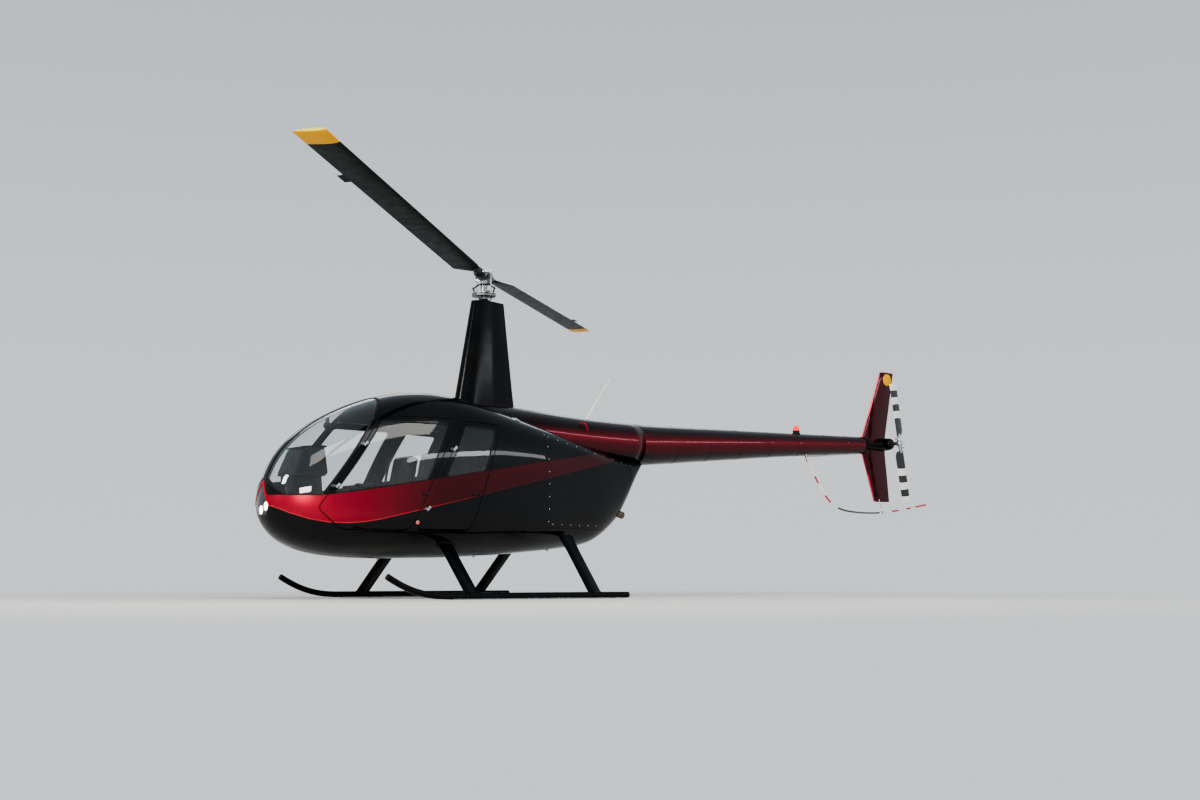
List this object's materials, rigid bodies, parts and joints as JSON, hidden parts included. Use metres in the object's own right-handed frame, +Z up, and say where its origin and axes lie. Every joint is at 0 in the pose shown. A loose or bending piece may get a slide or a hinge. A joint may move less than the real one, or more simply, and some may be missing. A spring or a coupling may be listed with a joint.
{
  "type": "light four-seat helicopter on skids",
  "caption": "Light piston helicopter on skids with a two-blade rotor, egg-shaped cabin with hinged doors, slim tail boom, swept fins and a tail rotor.",
  "frame": {"origin": "on the floor, at the middle of the whole machine's footprint; the rotor mast stands 1.382 m ahead of it", "axes": "+X forward to the nose, +Y to the left side, +Z up; Z is the shortest extent and X the longest"},
  "size_m": [10.4192, 6.915, 3.4684],
  "materials": {
    "black_paint": "gloss",
    "maroon_paint": "gloss",
    "clear_glass": "gloss",
    "cabin_trim": "matte",
    "seat_leather": "satin",
    "satin_black": "satin",
    "rotor_blade": "satin",
    "bare_metal": "satin",
    "engine_block": "matte",
    "white_paint": "satin",
    "red_lens": "gloss",
    "green_lens": "gloss"
  },
  "bodies": {
    "airframe": {"nose_shell": "black_paint", "belly_pan": "black_paint", "rear_bulkhead": "black_paint", "rear_quarter_left": "black_paint", "rear_quarter_right": "black_paint", "mid_side_left": "black_paint", "mid_side_right": "black_paint", "front_sill_left": "black_paint", "front_sill_right": "black_paint", "cabin_roof": "black_paint", "windscreen_left": "clear_glass", "windscreen_right": "clear_glass", "cabin_floor": "cabin_trim", "front_seat_left": "seat_leather", "front_seat_right": "seat_leather", "rear_seat_left": "seat_leather", "rear_seat_right": "seat_leather", "console": "cabin_trim", "control_stick": "satin_black", "landing_lamps": "bare_metal", "deck_cowl": "black_paint", "belly_cowl": "black_paint", "side_cowl_left": "black_paint", "side_cowl_right": "black_paint", "engine": "engine_block", "upper_fairing": "maroon_paint", "exhaust": "bare_metal", "mast_fairing": "black_paint", "mast": "bare_metal", "tail_boom": "maroon_paint", "beacon": "red_lens", "whip_aerial": "white_paint", "upper_fin": "maroon_paint", "stabiliser": "maroon_paint", "tail_guard": "white_paint", "lower_fin": "maroon_paint", "tail_gearbox": "bare_metal", "skid_left": "black_paint", "skid_right": "black_paint", "front_strut_left": "black_paint", "front_strut_right": "black_paint", "rear_strut_left": "black_paint", "rear_strut_right": "black_paint", "position_light_left": "red_lens", "position_light_right": "green_lens"},
    "main_rotor": {"rotor_hub": "satin_black", "main_blade_1": "rotor_blade", "main_blade_2": "rotor_blade"},
    "tail_rotor": {"tail_rotor_hub": "bare_metal", "tail_blade_1": "white_paint", "tail_blade_2": "white_paint"},
    "front_door_left": {"front_door_left": "black_paint", "front_door_glass_left": "clear_glass"},
    "front_door_right": {"front_door_right": "black_paint", "front_door_glass_right": "clear_glass"},
    "rear_door_left": {"rear_door_left": "black_paint", "rear_door_glass_left": "clear_glass"},
    "rear_door_right": {"rear_door_right": "black_paint", "rear_door_glass_right": "clear_glass"}
  },
  "joints": [
    {"name": "main_rotor_spin", "type": "hinge", "parent": "airframe", "child": "main_rotor", "pos_m": [1.3822, 0, 3.28], "axis": [0, 0, 1], "continuous": true},
    {"name": "tail_rotor_spin", "type": "hinge", "parent": "airframe", "child": "tail_rotor", "pos_m": [-4.5108, 0.28, 1.83], "axis": [0, 1, 0], "continuous": true},
    {"name": "front_door_left_hinge", "type": "hinge", "parent": "airframe", "child": "front_door_left", "pos_m": [3.20891, 0.562, 1.2], "axis": [0.5787, 0, -0.8155], "range_deg": [0, 70]},
    {"name": "front_door_right_hinge", "type": "hinge", "parent": "airframe", "child": "front_door_right", "pos_m": [3.20891, -0.562, 1.2], "axis": [-0.5787, 0, 0.8155], "range_deg": [0, 70]},
    {"name": "rear_door_left_hinge", "type": "hinge", "parent": "airframe", "child": "rear_door_left", "pos_m": [2.23478, 0.655, 1.2], "axis": [0.4439, 0, -0.8961], "range_deg": [0, 70]},
    {"name": "rear_door_right_hinge", "type": "hinge", "parent": "airframe", "child": "rear_door_right", "pos_m": [2.23478, -0.655, 1.2], "axis": [-0.4439, 0, 0.8961], "range_deg": [0, 70]}
  ]
}
